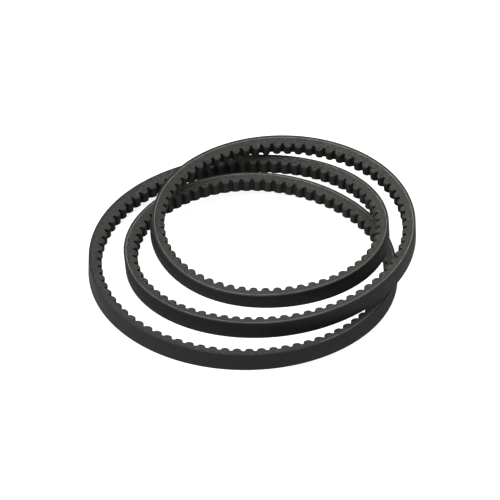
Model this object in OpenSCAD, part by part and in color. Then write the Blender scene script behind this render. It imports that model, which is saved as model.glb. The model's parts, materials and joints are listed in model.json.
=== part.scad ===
// Raw-edge cogged V belt, one endless ring coiled into three turns and lying on its side.
// The belt's back faces outward, its cogs face the middle of the coil.
// Origin: floor level, in the middle of the coil's outline. +Z is up, -Y is the front.

/* [Belt section] */
// Width of the back, the section's nominal top width
top_w = 17; // [13:0.5:19]
// Height of the section from the back to the cog tips
belt_h = 11; // [10:0.5:12]
// Angle between the two flanks
flank_angle = 40; // [34:1:42]

/* [Plies, from the back inward] */
// Thickness of each of the two back fabrics
fabric_t = 0.5; // [0.3:0.05:0.6]
// Thickness of the tension rubber above the cord
tension_t = 0.5; // [0.3:0.05:0.6]
// Thickness of the cord ply
cord_t = 1.1; // [0.8:0.1:1.2]
// Thickness of the adhesion rubber under the cord
adhesion_t = 0.8; // [0.5:0.1:1]

/* [Cogs] */
// Number of cogs round the whole belt
cog_count = 210; // [180:30:240]
// Depth of the notch between two cogs
cog_depth = 3.8; // [3:0.2:5]
// Share of the pitch that a cog fills at its foot
cog_share = 0.7; // [0.6:0.02:0.8]
// Squareness of a cog's rounded outline, 2 is an ellipse
cog_squareness = 2.3; // [2:0.1:4]
// Share of a pitch from the middle of the front to the first notch after it
first_notch = 0.66; // [0:0.01:0.99]

/* [First turn: on top in front] */
// Distance of the back from the coil's middle at the front, left, back and right
turn1_reach = [79.5, 85, 114.5, 133]; // [60:0.5:150]
// The same at the front left, back left, back right and front right
turn1_diagonal_reach = [78, 98, 132.5, 118]; // [60:0.5:150]
// Height of the middle of the back at the front, left, back and right
turn1_height = [32.5, 32, 34.5, 34]; // [8:0.5:45]
// Angle by which the back leans up, at the same four places
turn1_lean = [-12, 6, 11, 5]; // [-20:1:20]

/* [Second turn: in the middle in front] */
// Distance of the back from the coil's middle at the front, left, back and right
turn2_reach = [108, 107.5, 91.5, 116.5]; // [60:0.5:150]
// The same at the front left, back left, back right and front right
turn2_diagonal_reach = [108, 96, 100, 125]; // [60:0.5:150]
// Height of the middle of the back at the front, left, back and right
turn2_height = [29.5, 16.5, 11, 9]; // [8:0.5:45]
// Angle by which the back leans up, at the same four places
turn2_lean = [-2, -3, -11, 7]; // [-20:1:20]

/* [Third turn: at the bottom in front] */
// Distance of the back from the coil's middle at the front, left, back and right
turn3_reach = [131.5, 137.5, 112.5, 111]; // [60:0.5:150]
// The same at the front left, back left, back right and front right
turn3_diagonal_reach = [138.5, 125, 113, 93]; // [60:0.5:150]
// Height of the middle of the back at the front, left, back and right
turn3_height = [19, 13, 13.5, 32]; // [8:0.5:45]
// Angle by which the back leans up, at the same four places
turn3_lean = [1, 4, -13, 6]; // [-20:1:20]

/* [Free loops] */
// Angle that each loop that can be lifted spans, seen from the coil's middle
loop_angle = 164; // [140:2:168]
// Clearance at each end of such a loop
loop_gap = 0.3; // [0.1:0.1:0.6]

/* [Hidden] */
TURNS = 3;

// Depths below the back at which one ply ends and the next begins
inner_fabric_depth = fabric_t;
tension_depth = 2 * fabric_t;
cord_depth = tension_depth + tension_t;
adhesion_depth = cord_depth + cord_t;
cog_body_depth = adhesion_depth + adhesion_t;
notch_depth = belt_h - cog_depth;

// ---- The lay of the coil: a smooth closed curve, with u running 0 to 1 round the whole belt

turn_shapes = [
    [turn1_reach, turn1_diagonal_reach, turn1_height, turn1_lean],
    [turn2_reach, turn2_diagonal_reach, turn2_height, turn2_lean],
    [turn3_reach, turn3_diagonal_reach, turn3_height, turn3_lean]
];
reach = [for (turn = turn_shapes) for (i = [0:3]) each [turn[0][i], turn[1][i]]];
height = [for (turn = turn_shapes) each turn[2]];
lean = [for (turn = turn_shapes) each turn[3]];

// Trigonometric interpolation through n evenly spaced values on a closed curve, n even
function share(n, u) = abs(sin(180 * u)) < 1e-6 ? 1 : sin(180 * n * u) / (n * tan(180 * u));
function smooth(values, u) =
    let (n = len(values))
    values * [for (j = [0:n - 1]) share(n, u - j / n)];

function unit(v) = v / norm(v);
function lerp(a, b, t) = a + (b - a) * t;

// Clockwise from the front, seen from above
function back_middle(u) =
    let (angle = -90 - 360 * TURNS * u, r = smooth(reach, u))
    [r * cos(angle), r * sin(angle), smooth(height, u)];

// Frame of the section at u: middle of the back, outward normal of the back, width direction
function lay(u) =
    let (
        step = 0.001,
        ahead = unit(back_middle(u + step) - back_middle(u - step)),
        level_out = unit(cross([0, 0, 1], ahead)),
        level_up = cross(ahead, level_out),
        tilt = smooth(lean, u)
    )
    [
        back_middle(u),
        cos(tilt) * level_out + sin(tilt) * level_up,
        cos(tilt) * level_up - sin(tilt) * level_out
    ];

// The cord keeps its length when the belt bends, so the cogs are spaced evenly along the cord
function cord_point(u) = let (f = lay(u)) f[0] - (cord_depth + cord_t / 2) * f[1];
SAMPLES = 3 * cog_count;
cord_points = [for (k = [0:SAMPLES]) cord_point(k / SAMPLES)];
cord_run = [
    for (
        k = 0, run = 0;
        k <= SAMPLES;
        run = run + (k < SAMPLES ? norm(cord_points[k + 1] - cord_points[k]) : 0), k = k + 1
    )
    run
];
pitch = cord_run[SAMPLES] / cog_count;
run_to_u = [for (k = [0:SAMPLES]) [cord_run[k], k / SAMPLES]];
u_to_run = [for (k = [0:SAMPLES]) [k / SAMPLES, cord_run[k]]];
function nearest_notch(u) =
    let (lap = floor(u))
    round(lookup(u - lap, u_to_run) / pitch - first_notch) + lap * cog_count;

raw_frames = [for (i = [0:cog_count - 1]) lay(lookup((i + first_notch) * pitch, run_to_u))];

// The coil is moved so that it rests on z = 0 and its outline is centred on the origin
back_edges = [for (f = raw_frames) for (side = [-1, 1]) f[0] + side * top_w / 2 * f[2]];
xs = [for (p = back_edges) p[0]];
ys = [for (p = back_edges) p[1]];
zs = [for (p = back_edges) p[2]];
rest_shift = -[(min(xs) + max(xs)) / 2, (min(ys) + max(ys)) / 2, min(zs)];
frames = [for (f = raw_frames) [f[0] + rest_shift, f[1], f[2]]];

// The belt bends at its notches and is straight along each cog; i counts notches round the belt
function frame_at(i) =
    let (
        n = floor(i),
        a = frames[(n + cog_count) % cog_count],
        b = frames[(n + 1 + cog_count) % cog_count]
    )
    lerp(a, b, i - n);

// A point of the section at i: side is +1 on the upper flank and -1 on the lower one
function section_point(i, side, depth) =
    let (f = frame_at(i), half = top_w / 2 - depth * tan(flank_angle / 2))
    f[0] + side * half * f[2] - depth * f[1];

// ---- Stretches of the belt, each as [first notch, last notch, clearance at both ends]

function free_loop(middle) =
    let (half = loop_angle / 360 / TURNS / 2)
    [nearest_notch(middle - half), nearest_notch(middle + half), loop_gap / pitch];

FRONT_LOOP = free_loop(0);
REAR_LOOP = free_loop(1 / 2 / TURNS);
MIDDLE_LOOP = free_loop(1 / TURNS);
PILE = [
    [FRONT_LOOP[1], REAR_LOOP[0], 0],
    [REAR_LOOP[1], MIDDLE_LOOP[0], 0],
    [MIDDLE_LOOP[1], cog_count + FRONT_LOOP[0], 0]
];

// The notches of a stretch, with its ends moved in by the clearance
function notches(stretch) = [
    stretch[0] + stretch[2],
    for (i = [stretch[0] + 1:stretch[1] - 1]) i,
    stretch[1] - stretch[2]
];

// ---- A ply: a strip of the section between two depths, swept along a stretch

module ply(stretch, outer, inner) {
    stops = notches(stretch);
    last = len(stops) - 1;
    points = [
        for (i = stops)
            each [
                section_point(i, -1, outer), section_point(i, 1, outer),
                section_point(i, 1, inner), section_point(i, -1, inner)
            ]
    ];
    faces = [
        [0, 1, 2], [0, 2, 3],
        for (k = [0:last - 1])
            let (a = 4 * k, b = a + 4)
            each [
                [a, b, a + 1], [b, b + 1, a + 1],
                [a + 1, b + 1, a + 2], [b + 1, b + 2, a + 2],
                [a + 3, a + 2, b + 3], [b + 3, a + 2, b + 2],
                [a, a + 3, b + 3], [a, b + 3, b]
            ],
        [4 * last, 4 * last + 2, 4 * last + 1], [4 * last, 4 * last + 3, 4 * last + 2]
    ];
    polyhedron(points, faces);
}

// ---- The compression rubber with its cogs

// Outline of one cog as [place along the pitch, height above the notch], foot to foot
COG_POINTS = 8;
cog_outline = [
    for (k = [0:COG_POINTS - 1])
        let (a = 180 * k / (COG_POINTS - 1), power = 2 / cog_squareness)
        [
            0.5 - cog_share / 2 * sign(cos(a)) * pow(abs(cos(a)), power),
            cog_depth * pow(sin(a), power)
        ]
];

module cogs(stretch, outer) {
    stops = notches(stretch);
    last = len(stops) - 1;
    per = 4 + 2 * COG_POINTS;
    function base(k) = per * k;
    function rib(k, j, low) = base(k) + 4 + 2 * j + low;
    points = [
        for (k = [0:last])
            let (i = stops[k], n = floor(i + 0.5))
            each [
                section_point(i, -1, outer), section_point(i, 1, outer),
                section_point(i, 1, notch_depth), section_point(i, -1, notch_depth),
                if (k < last)
                    for (c = cog_outline)
                        each [
                            section_point(n + c[0], -1, notch_depth + c[1]),
                            section_point(n + c[0], 1, notch_depth + c[1])
                        ]
            ]
    ];
    end = base(last);
    faces = [
        [0, 1, 2], [0, 2, 3],
        for (k = [0:last - 1])
            let (a = base(k), b = base(k + 1), foot = COG_POINTS - 1)
            each [
                [a, b, a + 1], [b, b + 1, a + 1],
                [a + 3, a + 2, rib(k, 0, 0)], [rib(k, 0, 0), a + 2, rib(k, 0, 1)],
                [rib(k, foot, 0), rib(k, foot, 1), b + 3], [b + 3, rib(k, foot, 1), b + 2],
                [a, a + 3, rib(k, 0, 0)], [a, rib(k, 0, 0), rib(k, foot, 0)],
                [a, rib(k, foot, 0), b], [b, rib(k, foot, 0), b + 3],
                [a + 1, rib(k, 0, 1), a + 2], [a + 1, rib(k, foot, 1), rib(k, 0, 1)],
                [a + 1, b + 1, rib(k, foot, 1)], [b + 1, b + 2, rib(k, foot, 1)],
                for (j = [0:foot - 1])
                    each [
                        [rib(k, j, 0), rib(k, j, 1), rib(k, j + 1, 0)],
                        [rib(k, j + 1, 0), rib(k, j, 1), rib(k, j + 1, 1)]
                    ],
                for (j = [1:foot - 1])
                    each [
                        [rib(k, 0, 0), rib(k, j, 0), rib(k, j + 1, 0)],
                        [rib(k, 0, 1), rib(k, j + 1, 1), rib(k, j, 1)]
                    ]
            ],
        [end, end + 2, end + 1], [end, end + 3, end + 2]
    ];
    polyhedron(points, faces);
}

// ---- The six plies on any stretch

module back_fabric_on(stretch) {
    color("#2a2a2b") ply(stretch, 0, inner_fabric_depth);
}

module inner_fabric_on(stretch) {
    color("#4a4038") ply(stretch, inner_fabric_depth, tension_depth);
}

module tension_rubber_on(stretch) {
    color("#333433") ply(stretch, tension_depth, cord_depth);
}

module cord_ply_on(stretch) {
    color("#c8bfa6") ply(stretch, cord_depth, adhesion_depth);
}

module adhesion_rubber_on(stretch) {
    color("#3c3d3b") ply(stretch, adhesion_depth, cog_body_depth);
}

module cog_body_on(stretch) {
    color("#4a4b49") cogs(stretch, cog_body_depth);
}

// ---- The pile: every stretch that stays where it lies

module back_fabric() {
    for (stretch = PILE) back_fabric_on(stretch);
}

module inner_fabric() {
    for (stretch = PILE) inner_fabric_on(stretch);
}

module tension_rubber() {
    for (stretch = PILE) tension_rubber_on(stretch);
}

module cord_ply() {
    for (stretch = PILE) cord_ply_on(stretch);
}

module adhesion_rubber() {
    for (stretch = PILE) adhesion_rubber_on(stretch);
}

module cog_body() {
    for (stretch = PILE) cog_body_on(stretch);
}

back_fabric();
inner_fabric();
tension_rubber();
cord_ply();
adhesion_rubber();
cog_body();

back_fabric_on(FRONT_LOOP);  // front_loop_back_fabric
inner_fabric_on(FRONT_LOOP);  // front_loop_inner_fabric
tension_rubber_on(FRONT_LOOP);  // front_loop_tension_rubber
cord_ply_on(FRONT_LOOP);  // front_loop_cord_ply
adhesion_rubber_on(FRONT_LOOP);  // front_loop_adhesion_rubber
cog_body_on(FRONT_LOOP);  // front_loop_cog_body

back_fabric_on(MIDDLE_LOOP);  // middle_loop_back_fabric
inner_fabric_on(MIDDLE_LOOP);  // middle_loop_inner_fabric
tension_rubber_on(MIDDLE_LOOP);  // middle_loop_tension_rubber
cord_ply_on(MIDDLE_LOOP);  // middle_loop_cord_ply
adhesion_rubber_on(MIDDLE_LOOP);  // middle_loop_adhesion_rubber
cog_body_on(MIDDLE_LOOP);  // middle_loop_cog_body

back_fabric_on(REAR_LOOP);  // rear_loop_back_fabric
inner_fabric_on(REAR_LOOP);  // rear_loop_inner_fabric
tension_rubber_on(REAR_LOOP);  // rear_loop_tension_rubber
cord_ply_on(REAR_LOOP);  // rear_loop_cord_ply
adhesion_rubber_on(REAR_LOOP);  // rear_loop_adhesion_rubber
cog_body_on(REAR_LOOP);  // rear_loop_cog_body
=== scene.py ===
"""Looks of a raw-edge cogged V belt that lies on its side, coiled into three turns.

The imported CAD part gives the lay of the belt: each straight mesh edge across its back marks a notch.
Every ply is swept along that lay again as a finer mesh, which stands for its CAD node.
"""

import json
import math

import bpy
import numpy as np
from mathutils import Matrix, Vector

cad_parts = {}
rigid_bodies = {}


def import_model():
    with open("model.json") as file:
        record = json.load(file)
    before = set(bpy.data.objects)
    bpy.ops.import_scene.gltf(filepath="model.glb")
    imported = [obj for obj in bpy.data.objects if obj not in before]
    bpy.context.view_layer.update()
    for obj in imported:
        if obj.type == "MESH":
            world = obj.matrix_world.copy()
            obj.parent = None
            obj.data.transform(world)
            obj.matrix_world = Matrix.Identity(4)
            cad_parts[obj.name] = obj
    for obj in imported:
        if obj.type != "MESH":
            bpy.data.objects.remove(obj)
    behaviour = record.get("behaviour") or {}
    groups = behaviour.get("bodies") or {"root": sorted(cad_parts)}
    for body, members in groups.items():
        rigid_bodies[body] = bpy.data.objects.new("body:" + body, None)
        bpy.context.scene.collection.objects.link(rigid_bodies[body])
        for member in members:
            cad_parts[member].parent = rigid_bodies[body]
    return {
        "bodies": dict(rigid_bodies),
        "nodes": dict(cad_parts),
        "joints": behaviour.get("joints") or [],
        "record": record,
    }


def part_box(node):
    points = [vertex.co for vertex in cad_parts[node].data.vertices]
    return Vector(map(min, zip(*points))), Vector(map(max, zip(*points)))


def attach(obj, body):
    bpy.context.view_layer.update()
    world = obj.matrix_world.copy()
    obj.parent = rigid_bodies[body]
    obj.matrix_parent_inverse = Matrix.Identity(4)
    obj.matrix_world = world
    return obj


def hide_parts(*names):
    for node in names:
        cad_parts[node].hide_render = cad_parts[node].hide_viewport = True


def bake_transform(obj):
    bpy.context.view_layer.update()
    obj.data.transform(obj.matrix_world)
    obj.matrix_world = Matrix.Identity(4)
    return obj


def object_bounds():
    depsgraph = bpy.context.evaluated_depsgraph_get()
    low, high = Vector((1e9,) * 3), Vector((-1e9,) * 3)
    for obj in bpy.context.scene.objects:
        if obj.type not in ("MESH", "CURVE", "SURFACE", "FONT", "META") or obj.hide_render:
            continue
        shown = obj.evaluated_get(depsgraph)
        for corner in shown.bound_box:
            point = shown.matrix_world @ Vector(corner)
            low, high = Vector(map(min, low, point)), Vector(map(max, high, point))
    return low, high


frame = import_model()
cad_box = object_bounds()

# ---- Driving dimensions, in metres

MM = 0.001
TOP_WIDTH = 17 * MM
BELT_HEIGHT = 11 * MM
FABRIC = 0.5 * MM
FLANK_SLOPE = math.tan(math.radians(40) / 2)

COG_SHARE = 0.70  # of the pitch, at the cog's foot
COG_SQUARENESS = 2.3  # exponent of the cog's superellipse
NOTCH_FILLET = 1.0 * MM
CUT_EDGE = 0.12 * MM  # bevel where a moulded face meets a cut flank
BACK_EDGE = 0.3 * MM  # rounding of the back's two edges

CORD_RADIUS = 0.5 * MM
CORD_SPACING = 1.1 * MM  # between neighbouring passes of the wound cord
THINNEST_CUT = 0.12 * MM  # what is left of a pass where its cut ends
BED_INSET = 0.04 * MM  # how far the rubber between the passes stands behind the cut cord
WIDEST_CUT_AT = 0.53  # share of the ring, from its first notch, where the upper flank halves a pass
DARK_TIP = 2.5 * MM  # depth over which the flanks darken towards the cog tips

PILE = "pile"
BEND_LENGTH = 45 * MM  # length of the stretch that bend_line marks out from a lifted loop's hinge
STEPS_PER_NOTCH = 4  # sections per pitch on a smooth ply
FINE = 16  # samples per pitch of the smoothed lay


def half_width(depth):
    """Half the width of the section at a depth below the back"""
    return TOP_WIDTH / 2 - depth * FLANK_SLOPE


def unit(rows):
    return rows / np.linalg.norm(rows, axis=-1, keepdims=True)


# ---- The lay of the belt, read from the CAD back fabrics


def mesh_arrays(node):
    """Vertex positions of a CAD node, and the vertex pairs of its edges"""
    mesh = frame["nodes"][node].data
    points = np.empty(3 * len(mesh.vertices), np.float32)
    edges = np.empty(2 * len(mesh.edges), np.int32)
    mesh.vertices.foreach_get("co", points)
    mesh.edges.foreach_get("vertices", edges)
    return points.reshape(-1, 3).astype(float), edges.reshape(-1, 2)


def cross_edges(node, length):
    """Lower and upper ends of the mesh edges of this length, each edge once"""
    points, edges = mesh_arrays(node)
    a, b = points[edges[:, 0]], points[edges[:, 1]]
    found = np.abs(np.linalg.norm(b - a, axis=1) - length) < 0.004 * MM
    a, b = a[found], b[found]
    _, once = np.unique(np.round((a + b) / 2, 5), axis=0, return_index=True)
    a, b = a[once], b[once]
    a_is_low = (a[:, 2] < b[:, 2])[:, None]
    return np.where(a_is_low, a, b), np.where(a_is_low, b, a)


def sections(node):
    """Middle of the back, outward normal and width direction at every notch of a back fabric"""
    low, high = cross_edges(node, 2 * half_width(0))
    inner_low, inner_high = cross_edges(node, 2 * half_width(FABRIC))
    middle, inner = (low + high) / 2, (inner_low + inner_high) / 2
    below = inner[distances(middle, inner).argmin(1)]
    return middle, unit(middle - below), unit(high - low)


def distances(a, b):
    return np.linalg.norm(a[:, None] - b[None], axis=2)


def read_ring():
    """All notches in order round the belt, as (middle, out, across, body names)"""
    rows = {}
    for body, nodes in frame["record"]["behaviour"]["bodies"].items():
        rows[body] = sections(next(n for n in nodes if n.endswith("back_fabric")))
    middle, out, across = rows[PILE]
    bodies = [PILE] * len(middle)
    for body, (m, o, a) in rows.items():
        if body == PILE:
            continue
        inside = distances(m, rows[PILE][0]).min(1) > FABRIC  # not the section at a seam
        middle = np.vstack([middle, m[inside]])
        out = np.vstack([out, o[inside]])
        across = np.vstack([across, a[inside]])
        bodies += [body] * int(inside.sum())
    order = [0]
    while len(order) < len(middle):
        here = order[-1]
        step = middle - middle[here]
        gap = np.linalg.norm(step, axis=1)
        ahead = step @ np.cross(out[here], across[here]) > 0.8 * gap
        order.append(int(np.where(ahead & (gap > 0), gap, np.inf).argmin()))
    if len(set(order)) != len(order):
        raise ValueError("the notches of the CAD belt don't form one ring")
    return middle[order], out[order], across[order], [bodies[i] for i in order]


ring_middle, ring_out, ring_across, ring_bodies = read_ring()
COGS = len(ring_middle)


def smoothed(rows):
    """A closed smooth curve through rows, at FINE samples per row, with its start repeated"""
    fine = np.fft.irfft(np.fft.rfft(rows, axis=0), FINE * len(rows), axis=0) * FINE
    return np.vstack([fine, fine[:1]])


fine_middle, fine_out, fine_across = smoothed(ring_middle), smoothed(ring_out), smoothed(ring_across)


def lay(t):
    """Middle of the back, outward normal and width direction at notch numbers t"""
    t = np.mod(np.asarray(t, float), COGS) * FINE
    low = np.minimum(np.floor(t).astype(int), FINE * COGS - 1)
    share = (t - low)[:, None]
    middle, out, across = (
        (1 - share) * fine[low] + share * fine[low + 1]
        for fine in (fine_middle, fine_out, fine_across)
    )
    return middle, unit(out), unit(across)


def ply_depths(node):
    """Least and greatest depth of a CAD ply in the planes of the notches"""
    points, _ = mesh_arrays(node)
    nearest = distances(points, ring_middle).argmin(1)
    step = points - ring_middle[nearest]
    ahead = np.cross(ring_out[nearest], ring_across[nearest])
    in_plane = np.abs((step * ahead).sum(1)) < 0.002 * MM
    depth = -(step * ring_out[nearest]).sum(1)[in_plane]
    return depth.min(), depth.max()


def find_stretches():
    """(body, first notch, last notch) of every stretch between two seams"""
    seams = [
        i for i in range(COGS)
        if ring_bodies[i] == PILE
        and (ring_bodies[i - 1] != PILE or ring_bodies[(i + 1) % COGS] != PILE)
    ]
    ends = seams[1:] + [seams[0] + COGS]
    return [(ring_bodies[(a + 1) % COGS], a, b) for a, b in zip(seams, ends)]


stretches = find_stretches()
CORD_MIDDLE = sum(ply_depths("cord_ply")) / 2
NOTCH_ROOT = ply_depths("cog_body")[1]
cord_line = lay(np.arange(COGS + 1))[0] - CORD_MIDDLE * lay(np.arange(COGS + 1))[1]
PITCH = float(np.linalg.norm(np.diff(cord_line, axis=0), axis=1).mean())

# ---- Meshes: sections swept along the lay


class Shell:
    """Collects swept solids and turns them into one piece"""

    def __init__(self):
        self.points, self.faces, self.slots, self.places = [], [], [], []
        self.size = 0

    def sweep(self, t, loops, side_slots=None):
        """One solid: loops[i] is the section at notch number t[i], as points (across, depth)"""
        middle, out, across = lay(t)
        w, depth = loops[..., 0], loops[..., 1]
        points = middle[:, None] + w[..., None] * across[:, None] - depth[..., None] * out[:, None]
        count, around = w.shape
        index = self.size + np.arange(count * around).reshape(count, around)
        a, b = index[:-1], index[1:]
        sides = np.stack([a, b, np.roll(b, -1, 1), np.roll(a, -1, 1)], axis=-1)
        self.faces += sides.reshape(-1, 4).tolist() + [index[0].tolist(), index[-1][::-1].tolist()]
        side_slots = np.zeros(around, int) if side_slots is None else side_slots
        self.slots += np.tile(side_slots, count - 1).tolist() + [int(side_slots[0])] * 2
        self.points.append(points.reshape(-1, 3))
        along = np.broadcast_to(np.asarray(t)[:, None] * PITCH, w.shape)
        self.places.append(np.stack([along, w, depth], axis=-1).reshape(-1, 3))
        self.size += count * around

    def piece(self, name, materials):
        mesh = bpy.data.meshes.new(name)
        mesh.from_pydata(np.vstack(self.points).tolist(), [], self.faces)
        place = mesh.attributes.new("belt_place", "FLOAT_VECTOR", "POINT")
        place.data.foreach_set("vector", np.vstack(self.places).astype(np.float32).ravel())
        for m in materials:
            mesh.materials.append(m)
        mesh.polygons.foreach_set("material_index", self.slots)
        mesh.polygons.foreach_set("use_smooth", [True] * len(mesh.polygons))
        mesh.set_sharp_from_angle(angle=math.radians(32))
        obj = bpy.data.objects.new(name, mesh)
        bpy.context.scene.collection.objects.link(obj)
        return obj


def steps(first, last):
    """Evenly spaced notch numbers of a smooth ply's sections"""
    return np.linspace(first, last, STEPS_PER_NOTCH * (last - first) + 1)


def corner(w, depth, radius, start, stop, segments):
    """Arc of a rounded corner in the section, angles in degrees from the width direction"""
    angles = np.radians(np.linspace(start, stop, segments + 1))
    return [(w + radius * math.cos(a), depth + radius * math.sin(a)) for a in angles]


def mirrored(right):
    """A closed symmetric section from its right half, given from the back inward"""
    return np.array(right + [(-w, depth) for w, depth in reversed(right)])


FLANK_TILT = math.degrees(math.atan(FLANK_SLOPE))


def ply_loop(outer, inner, inset, outer_radius):
    """Section of a ply: outer edges rounded, inner edges lightly broken, flanks moved in by inset"""
    reach = outer_radius * math.tan(math.radians(90 + FLANK_TILT) / 2)
    right = corner(
        half_width(outer) - inset - reach, outer + outer_radius, outer_radius, -90, FLANK_TILT, 4
    )
    edge = CUT_EDGE / 2
    right += [
        (half_width(inner - edge) - inset, inner - edge),
        (half_width(inner) - inset - edge, inner),
    ]
    return mirrored(right)


def ply_shell(spans, outer, inner, inset, outer_radius):
    loop = ply_loop(outer, inner, inset, outer_radius)
    shell = Shell()
    for first, last in spans:
        t = steps(first, last)
        shell.sweep(t, np.broadcast_to(loop, (len(t),) + loop.shape))
    return shell


BED, CUT_CORD = 0, 1  # material slots of the cord ply


def cord_shell(spans, outer, inner):
    """Rubber bed with the passes of the wound cord that the two flanks cut open

    Each pass moves over by one spacing per round, so the cut widens, narrows and ends in turn.
    """
    bed = ply_loop(outer, inner, BED_INSET, CUT_EDGE / 2)
    depth = (outer + inner) / 2
    edge = half_width(depth)
    angles = np.radians(np.arange(0, 360, 30))
    passes = int(edge / CORD_SPACING) + 2
    shell = Shell()
    for first, last in spans:
        t = steps(first, last)
        shell.sweep(t, np.broadcast_to(bed, (len(t),) + bed.shape), np.full(len(bed), BED))
        for k in range(-passes, passes + 1):
            middle = edge + CORD_SPACING * (k + t / COGS - WIDEST_CUT_AT)
            off_edge = np.abs(middle) - edge
            cut = (off_edge < CORD_RADIUS - THINNEST_CUT) & (off_edge > BED_INSET - CORD_RADIUS)
            if cut.sum() < 2:
                continue
            d = depth + CORD_RADIUS * np.sin(angles)
            w = middle[cut][:, None] + CORD_RADIUS * np.cos(angles)
            w = np.clip(w, -half_width(d), half_width(d))
            loops = np.stack([w, np.broadcast_to(d, w.shape)], axis=-1)
            shell.sweep(t[cut], loops, np.full(len(angles), CUT_CORD))
    return shell


def cog_outline():
    """One pitch of the moulded side, notch to notch, as (share of the pitch, depth)"""
    height, half_cog = BELT_HEIGHT - NOTCH_ROOT, COG_SHARE * PITCH / 2
    power = 2 / COG_SQUARENESS
    rise = math.asin((NOTCH_FILLET / height) ** (1 / power))
    cog = [
        (PITCH / 2 - half_cog * abs(math.cos(a)) ** power, height * math.sin(a) ** power)
        for a in np.linspace(rise, math.pi / 2, 10)
    ]
    root = [
        (cog[0][0] - NOTCH_FILLET + NOTCH_FILLET * math.sin(a), NOTCH_FILLET - NOTCH_FILLET * math.cos(a))
        for a in np.linspace(0, math.pi / 2, 7)[:-1]
    ]
    half = [(0.0, 0.0)] + root + cog
    half = [(x / PITCH, NOTCH_ROOT + y) for x, y in half]
    return half[:-1] + [(1 - x, d) for x, d in reversed(half)][:-1]


CUT, MOULDED = 0, 1  # material slots of the cog body
FLANK_ROWS = 3
FACE_COLUMNS = 4


def cog_loop(outer, depth):
    """Section of the cog body where its moulded face lies at this depth"""
    rows = np.linspace(outer, depth - CUT_EDGE, FLANK_ROWS + 1)
    right = [(half_width(d), d) for d in rows]
    across = np.linspace(half_width(depth) - CUT_EDGE, 0, FACE_COLUMNS // 2 + 1)[:-1]
    return mirrored(right + [(w, depth) for w in across])


def cog_shell(spans, outer):
    outline = cog_outline()
    around = 2 * (FLANK_ROWS + 1 + FACE_COLUMNS // 2)
    slots = np.full(around, CUT)
    slots[FLANK_ROWS + 1 : around - FLANK_ROWS - 2] = MOULDED
    shell = Shell()
    for first, last in spans:
        places = [(n + x, depth) for n in range(first, last) for x, depth in outline]
        places.append((last, NOTCH_ROOT))
        t = np.array([p[0] for p in places])
        loops = np.array([cog_loop(outer, p[1]) for p in places])
        shell.sweep(t, loops, slots)
    return shell


# ---- Materials


class Nodes:
    """A material with a short way to add and link its nodes"""

    def __init__(self, name):
        self.material = bpy.data.materials.new(name)
        self.material.use_nodes = True
        self.tree = self.material.node_tree
        self.shader = self.tree.nodes["Principled BSDF"]

    def add(self, kind, inputs=None, **settings):
        node = self.tree.nodes.new("ShaderNode" + kind)
        for key, value in settings.items():
            setattr(node, key, value)
        for key, value in (inputs or {}).items():
            self.put(node.inputs[key], value)
        return node

    def put(self, socket, value):
        if isinstance(value, bpy.types.NodeSocket):
            self.tree.links.new(value, socket)
        else:
            socket.default_value = value

    def place(self, scale):
        """Place on the belt (along, across, depth), in metres times scale per axis"""
        where = self.add("Attribute", attribute_name="belt_place")
        inputs = {0: where.outputs["Vector"], 1: scale}
        return self.add("VectorMath", inputs, operation="MULTIPLY").outputs[0]

    def belt_depth(self):
        """Depth below the back, in metres"""
        where = self.add("Attribute", attribute_name="belt_place").outputs["Vector"]
        return self.add("SeparateXYZ", {0: where}).outputs[2]

    def noise(self, scale, detail=3.0, roughness=0.55):
        """Noise with the given number of grains per metre along each axis"""
        inputs = {"Vector": self.place(scale), "Scale": 1.0, "Detail": detail, "Roughness": roughness}
        return self.add("TexNoise", inputs).outputs["Fac"]

    def math(self, operation, a, b):
        return self.add("Math", {0: a, 1: b}, operation=operation).outputs[0]

    def ramp(self, value, low, high, to_low=0.0, to_high=1.0):
        inputs = {0: value, 1: low, 2: high, 3: to_low, 4: to_high}
        return self.add("MapRange", inputs).outputs[0]

    def mix(self, factor, a, b):
        node = self.add("Mix", data_type="RGBA")
        self.put(node.inputs[0], factor)
        self.put(node.inputs[6], a)
        self.put(node.inputs[7], b)
        return node.outputs[2]

    def bump(self, height, distance, strength=1.0):
        inputs = {"Height": height, "Distance": distance, "Strength": strength}
        return self.add("Bump", inputs).outputs["Normal"]

    def finish(self, color, roughness, normal, specular=0.5):
        self.put(self.shader.inputs["Base Color"], color)
        self.put(self.shader.inputs["Roughness"], roughness)
        self.put(self.shader.inputs["Normal"], normal)
        self.put(self.shader.inputs["Specular IOR Level"], specular)
        return self.material


def rgb(r, g, b):
    return (r, g, b, 1.0)


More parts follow.
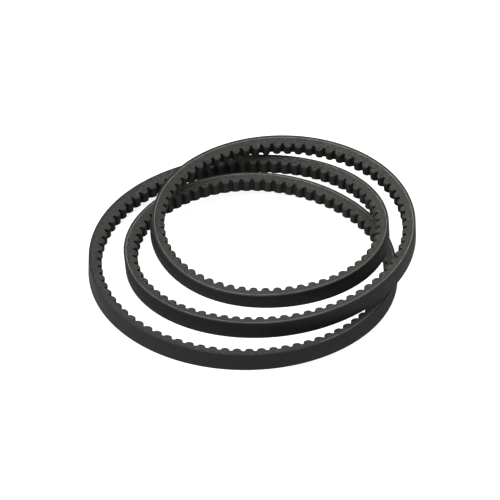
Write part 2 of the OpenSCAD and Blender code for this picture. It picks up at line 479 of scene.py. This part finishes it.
def ground_rubber(name, dark, light, warm, cool):
    """Cut and ground rubber: streaks along the belt, cut fibres, slow warm and cool changes of tone"""
    n = Nodes(name)
    streak = n.noise((70, 900, 1800), 4.0, 0.6)
    speck = n.noise((2300, 2300, 2300), 3.0, 0.6)
    mottle = n.noise((450, 600, 600), 2.0, 0.5)
    tone = n.math("ADD", n.math("MULTIPLY", streak, 0.45), n.math("MULTIPLY", speck, 0.55))
    shade = n.math("ADD", n.math("MULTIPLY", tone, 0.55), n.math("MULTIPLY", mottle, 0.45))
    color = n.mix(n.ramp(shade, 0.42, 0.58), dark, light)
    color = n.mix(n.ramp(n.noise((34, 70, 160), 2.0, 0.5), 0.5, 0.68, 0.0, 0.7), color, warm)
    color = n.mix(n.ramp(n.noise((47, 60, 140), 2.0, 0.5), 0.5, 0.68, 0.0, 0.7), color, cool)
    fibre = n.ramp(n.noise((1300, 4800, 4800), 1.0, 0.4), 0.64, 0.74)
    color = n.mix(n.math("MULTIPLY", fibre, 0.35), color, rgb(0.20, 0.19, 0.17))
    tip = n.ramp(n.belt_depth(), BELT_HEIGHT - DARK_TIP, BELT_HEIGHT, 0.0, 0.5)
    color = n.mix(tip, color, dark)
    height = n.math("ADD", tone, n.math("MULTIPLY", fibre, 0.4))
    roughness = n.ramp(tone, 0.3, 0.7, 0.7, 0.88)
    return n.finish(color, roughness, n.bump(height, 0.00012, 0.7), 0.2)


def moulded_rubber(name):
    """Smooth moulded rubber of the cogs, dull black with a fine grain and rubbed tips"""
    n = Nodes(name)
    grain = n.noise((2400, 2400, 2400), 3.0, 0.6)
    cloud = n.noise((160, 200, 300), 3.0, 0.5)
    color = n.mix(n.ramp(cloud, 0.35, 0.7), rgb(0.010, 0.010, 0.010), rgb(0.020, 0.020, 0.018))
    tip = n.ramp(n.belt_depth(), BELT_HEIGHT - 1.2 * MM, BELT_HEIGHT)
    rubbed = n.math("MULTIPLY", tip, n.ramp(grain, 0.45, 0.7))
    color = n.mix(n.math("MULTIPLY", rubbed, 0.5), color, rgb(0.05, 0.05, 0.046))
    roughness = n.ramp(cloud, 0.3, 0.7, 0.55, 0.72)
    return n.finish(color, roughness, n.bump(grain, 0.00006, 0.6), 0.25)


def back_canvas(name):
    """Rubbered canvas cut on the bias: a shallow diagonal weave under a smooth skin"""
    n = Nodes(name)
    threads = []
    for turn in (-1, 1):
        inputs = {"Vector": n.place((1, 1, 1)), "Angle": math.radians(55 * turn)}
        spun = n.add("VectorRotate", inputs, rotation_type="Z_AXIS")
        wave = n.add("TexWave", {"Vector": spun.outputs[0], "Scale": 420.0, "Distortion": 0.4, "Detail": 1.0})
        threads.append(wave.outputs["Fac"])
    weave = n.math("MAXIMUM", *threads)
    skin = n.noise((700, 900, 900), 4.0, 0.6)
    cloud = n.noise((40, 90, 90), 3.0, 0.5)
    color = n.mix(n.ramp(weave, 0.2, 1.0), rgb(0.006, 0.006, 0.007), rgb(0.012, 0.012, 0.012))
    color = n.mix(n.ramp(cloud, 0.45, 0.75, 0.0, 0.5), color, rgb(0.019, 0.017, 0.015))
    color = n.mix(n.ramp(skin, 0.52, 0.72, 0.0, 0.45), color, rgb(0.034, 0.034, 0.033))
    height = n.math("ADD", n.math("MULTIPLY", weave, 0.6), skin)
    roughness = n.ramp(cloud, 0.3, 0.7, 0.5, 0.64)
    return n.finish(color, roughness, n.bump(height, 0.00005, 0.6), 0.27)


def canvas_edge(name):
    """Cut edge of the inner canvas: brownish threads between thin lines of rubber"""
    n = Nodes(name)
    thread = n.noise((1900, 1900, 900), 2.0, 0.6)
    cloud = n.noise((45, 90, 90), 2.0, 0.5)
    color = n.mix(n.ramp(thread, 0.4, 0.65), rgb(0.020, 0.017, 0.015), rgb(0.085, 0.070, 0.058))
    color = n.mix(n.ramp(cloud, 0.4, 0.7, 0.0, 0.7), color, rgb(0.030, 0.028, 0.026))
    return n.finish(color, n.ramp(thread, 0.3, 0.7, 0.7, 0.92), n.bump(thread, 0.0001, 0.8), 0.2)


def cut_cord(name):
    """Cut polyester cord: a pale core of fibres along the belt, smeared with rubber in places"""
    n = Nodes(name)
    fibre = n.noise((220, 6000, 6000), 3.0, 0.6)
    twist = n.noise((1100, 300, 300), 2.0, 0.5)
    dirt = n.noise((95, 60, 60), 4.0, 0.65)
    off_core = n.math("ABSOLUTE", n.math("SUBTRACT", n.belt_depth(), CORD_MIDDLE), 0.0)
    core = n.ramp(off_core, 0.1 * MM, 0.4 * MM, 1.0, 0.15)
    clean = n.math("MULTIPLY", core, n.ramp(dirt, 0.42, 0.62, 1.0, 0.45))
    fibres = n.mix(n.ramp(fibre, 0.35, 0.65), rgb(0.15, 0.14, 0.12), rgb(0.27, 0.26, 0.225))
    fibres = n.mix(n.ramp(twist, 0.5, 0.75, 0.0, 0.5), fibres, rgb(0.16, 0.14, 0.11))
    color = n.mix(clean, rgb(0.050, 0.047, 0.042), fibres)
    return n.finish(color, 0.8, n.bump(fibre, 0.0001, 0.8), 0.2)


CUSHION_RUBBER = ground_rubber(
    "cushion_rubber",
    dark=rgb(0.018, 0.018, 0.016),
    light=rgb(0.047, 0.047, 0.045),
    warm=rgb(0.036, 0.032, 0.029),
    cool=rgb(0.030, 0.031, 0.029),
)
FLANK_RUBBER = ground_rubber(
    "flank_rubber",
    dark=rgb(0.020, 0.020, 0.018),
    light=rgb(0.064, 0.064, 0.060),
    warm=rgb(0.047, 0.042, 0.038),
    cool=rgb(0.038, 0.040, 0.036),
)
COG_RUBBER = moulded_rubber("cog_rubber")
BACK_CANVAS = back_canvas("back_canvas")
CANVAS_EDGE = canvas_edge("canvas_edge")
CORD = cut_cord("cut_cord")

# ---- The pieces: six plies on each body

PLY_LOOKS = {  # CAD node: (how far the flanks stand in, radius of the outer edges, material)
    "back_fabric": (0, BACK_EDGE, BACK_CANVAS),
    "inner_fabric": (0.08 * MM, CUT_EDGE / 2, CANVAS_EDGE),
    "tension_rubber": (0.03 * MM, CUT_EDGE / 2, CUSHION_RUBBER),
    "adhesion_rubber": (0.02 * MM, CUT_EDGE / 2, FLANK_RUBBER),
}


def ply_pieces(body, spans):
    """(piece, CAD node) of every ply on one body"""
    prefix = "" if body == PILE else body + "_"
    for ply, (inset, radius, look) in PLY_LOOKS.items():
        outer, inner = ply_depths(ply)
        shell = ply_shell(spans, outer, inner, inset, radius)
        yield shell.piece(prefix + ply + "_skin", [look]), prefix + ply
    cord = cord_shell(spans, *ply_depths("cord_ply"))
    yield cord.piece(prefix + "cord", [CUSHION_RUBBER, CORD]), prefix + "cord_ply"
    cogs = cog_shell(spans, ply_depths("cog_body")[0])
    yield cogs.piece(prefix + "cogs", [FLANK_RUBBER, COG_RUBBER]), prefix + "cog_body"


def bend_line(body):
    """Start and end of a stretch BEND_LENGTH long that leads from a loop's hinge, away from it, on the loop's
    side
    """
    joint = next(j for j in frame["joints"] if j["child"] == body)
    start, axis = Vector(joint["pos_m"]), Vector(joint["axis"])
    away = axis.cross(Vector((0, 0, 1))).normalized()
    low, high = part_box(body + "_back_fabric")
    if away.dot((low + high) / 2 - start) < 0:
        away.negate()
    return start, start + BEND_LENGTH * away


for body in frame["bodies"]:
    spans = [(first, last) for owner, first, last in stretches if owner == body]
    for piece, node in ply_pieces(body, spans):
        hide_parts(node)
        if body == PILE:
            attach(piece, body)
        else:
            start, end = bend_line(body)
            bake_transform(piece)
            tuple(start)
            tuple(end)

# ---- Floor, light and camera

box_low, box_high = cad_box


def flat_square(name, size, height):
    mesh = bpy.data.meshes.new(name)
    h = size / 2
    corners = [(-h, -h, height), (h, -h, height), (h, h, height), (-h, h, height)]
    mesh.from_pydata(corners, [], [(0, 1, 2, 3)])
    obj = bpy.data.objects.new(name, mesh)
    bpy.context.scene.collection.objects.link(obj)
    return obj


def pale_floor(name):
    """Matte pale floor; the camera sees it lit through from below, which leaves only faint shadows"""
    n = Nodes(name)
    grain = n.add("TexNoise", {"Scale": 40.0, "Detail": 3.0}).outputs["Fac"]
    seen = n.add("LightPath").outputs["Is Camera Ray"]
    n.put(n.shader.inputs["Emission Color"], rgb(1, 1, 1))
    n.put(n.shader.inputs["Emission Strength"], n.math("MULTIPLY", seen, FLOOR_GLOW))
    tone = n.mix(grain, rgb(0.48, 0.48, 0.48), rgb(0.52, 0.52, 0.52))
    return n.finish(tone, 0.9, n.bump(grain, 0.0001, 0.2), 0.1)


FLOOR_GLOW = 0.85  # emission that only the camera sees
floor = flat_square("floor", 12.0, box_low[2])
floor.data.materials.append(pale_floor("pale_floor"))


def area_light(name, where, target, size, power):
    light = bpy.data.lights.new(name, "AREA")
    light.shape, light.size, light.energy = "DISK", size, power
    obj = bpy.data.objects.new(name, light)
    obj.location = where
    obj.rotation_euler = (Vector(target) - Vector(where)).to_track_quat("-Z", "Y").to_euler()
    bpy.context.scene.collection.objects.link(obj)
    return obj


area_light("softbox_left", (-1.2, -0.5, 0.9), (0, 0, 0), 0.9, 12)
area_light("softbox_top", (0.1, 0.2, 1.9), (0, 0, 0), 1.4, 18)


def studio_world(name, horizon, zenith):
    """Plain white tent, brighter overhead than at the horizon"""
    world = bpy.data.worlds.new(name)
    world.use_nodes = True
    tree = world.node_tree
    direction = tree.nodes.new("ShaderNodeTexCoord").outputs["Generated"]
    up = tree.nodes.new("ShaderNodeSeparateXYZ")
    strength = tree.nodes.new("ShaderNodeMapRange")
    tree.links.new(direction, up.inputs[0])
    tree.links.new(up.outputs[2], strength.inputs[0])
    strength.inputs[3].default_value = horizon
    strength.inputs[4].default_value = zenith
    tree.links.new(strength.outputs[0], tree.nodes["Background"].inputs["Strength"])
    tree.nodes["Background"].inputs["Color"].default_value = rgb(1, 1, 1)
    return world


bpy.context.scene.world = studio_world("studio", horizon=0.4, zenith=0.9)

# These four were fitted to the photograph's outlines with a separate program
CAMERA_ELEVATION = math.radians(43.585)
CAMERA_DISTANCE = 1.2989
CAMERA_AIM = Vector((-0.0019, 0.0211, 0.0002))
LENS = 110.39

camera_data = bpy.data.cameras.new("camera")
camera_data.sensor_width = 36
camera_data.lens = LENS
camera = bpy.data.objects.new("camera", camera_data)
camera.location = CAMERA_AIM + CAMERA_DISTANCE * Vector(
    (0, -math.cos(CAMERA_ELEVATION), math.sin(CAMERA_ELEVATION))
)
camera.rotation_euler = (math.pi / 2 - CAMERA_ELEVATION, 0, 0)
bpy.context.scene.collection.objects.link(camera)
bpy.context.scene.camera = camera
bpy.context.scene.view_settings.view_transform = "Standard"
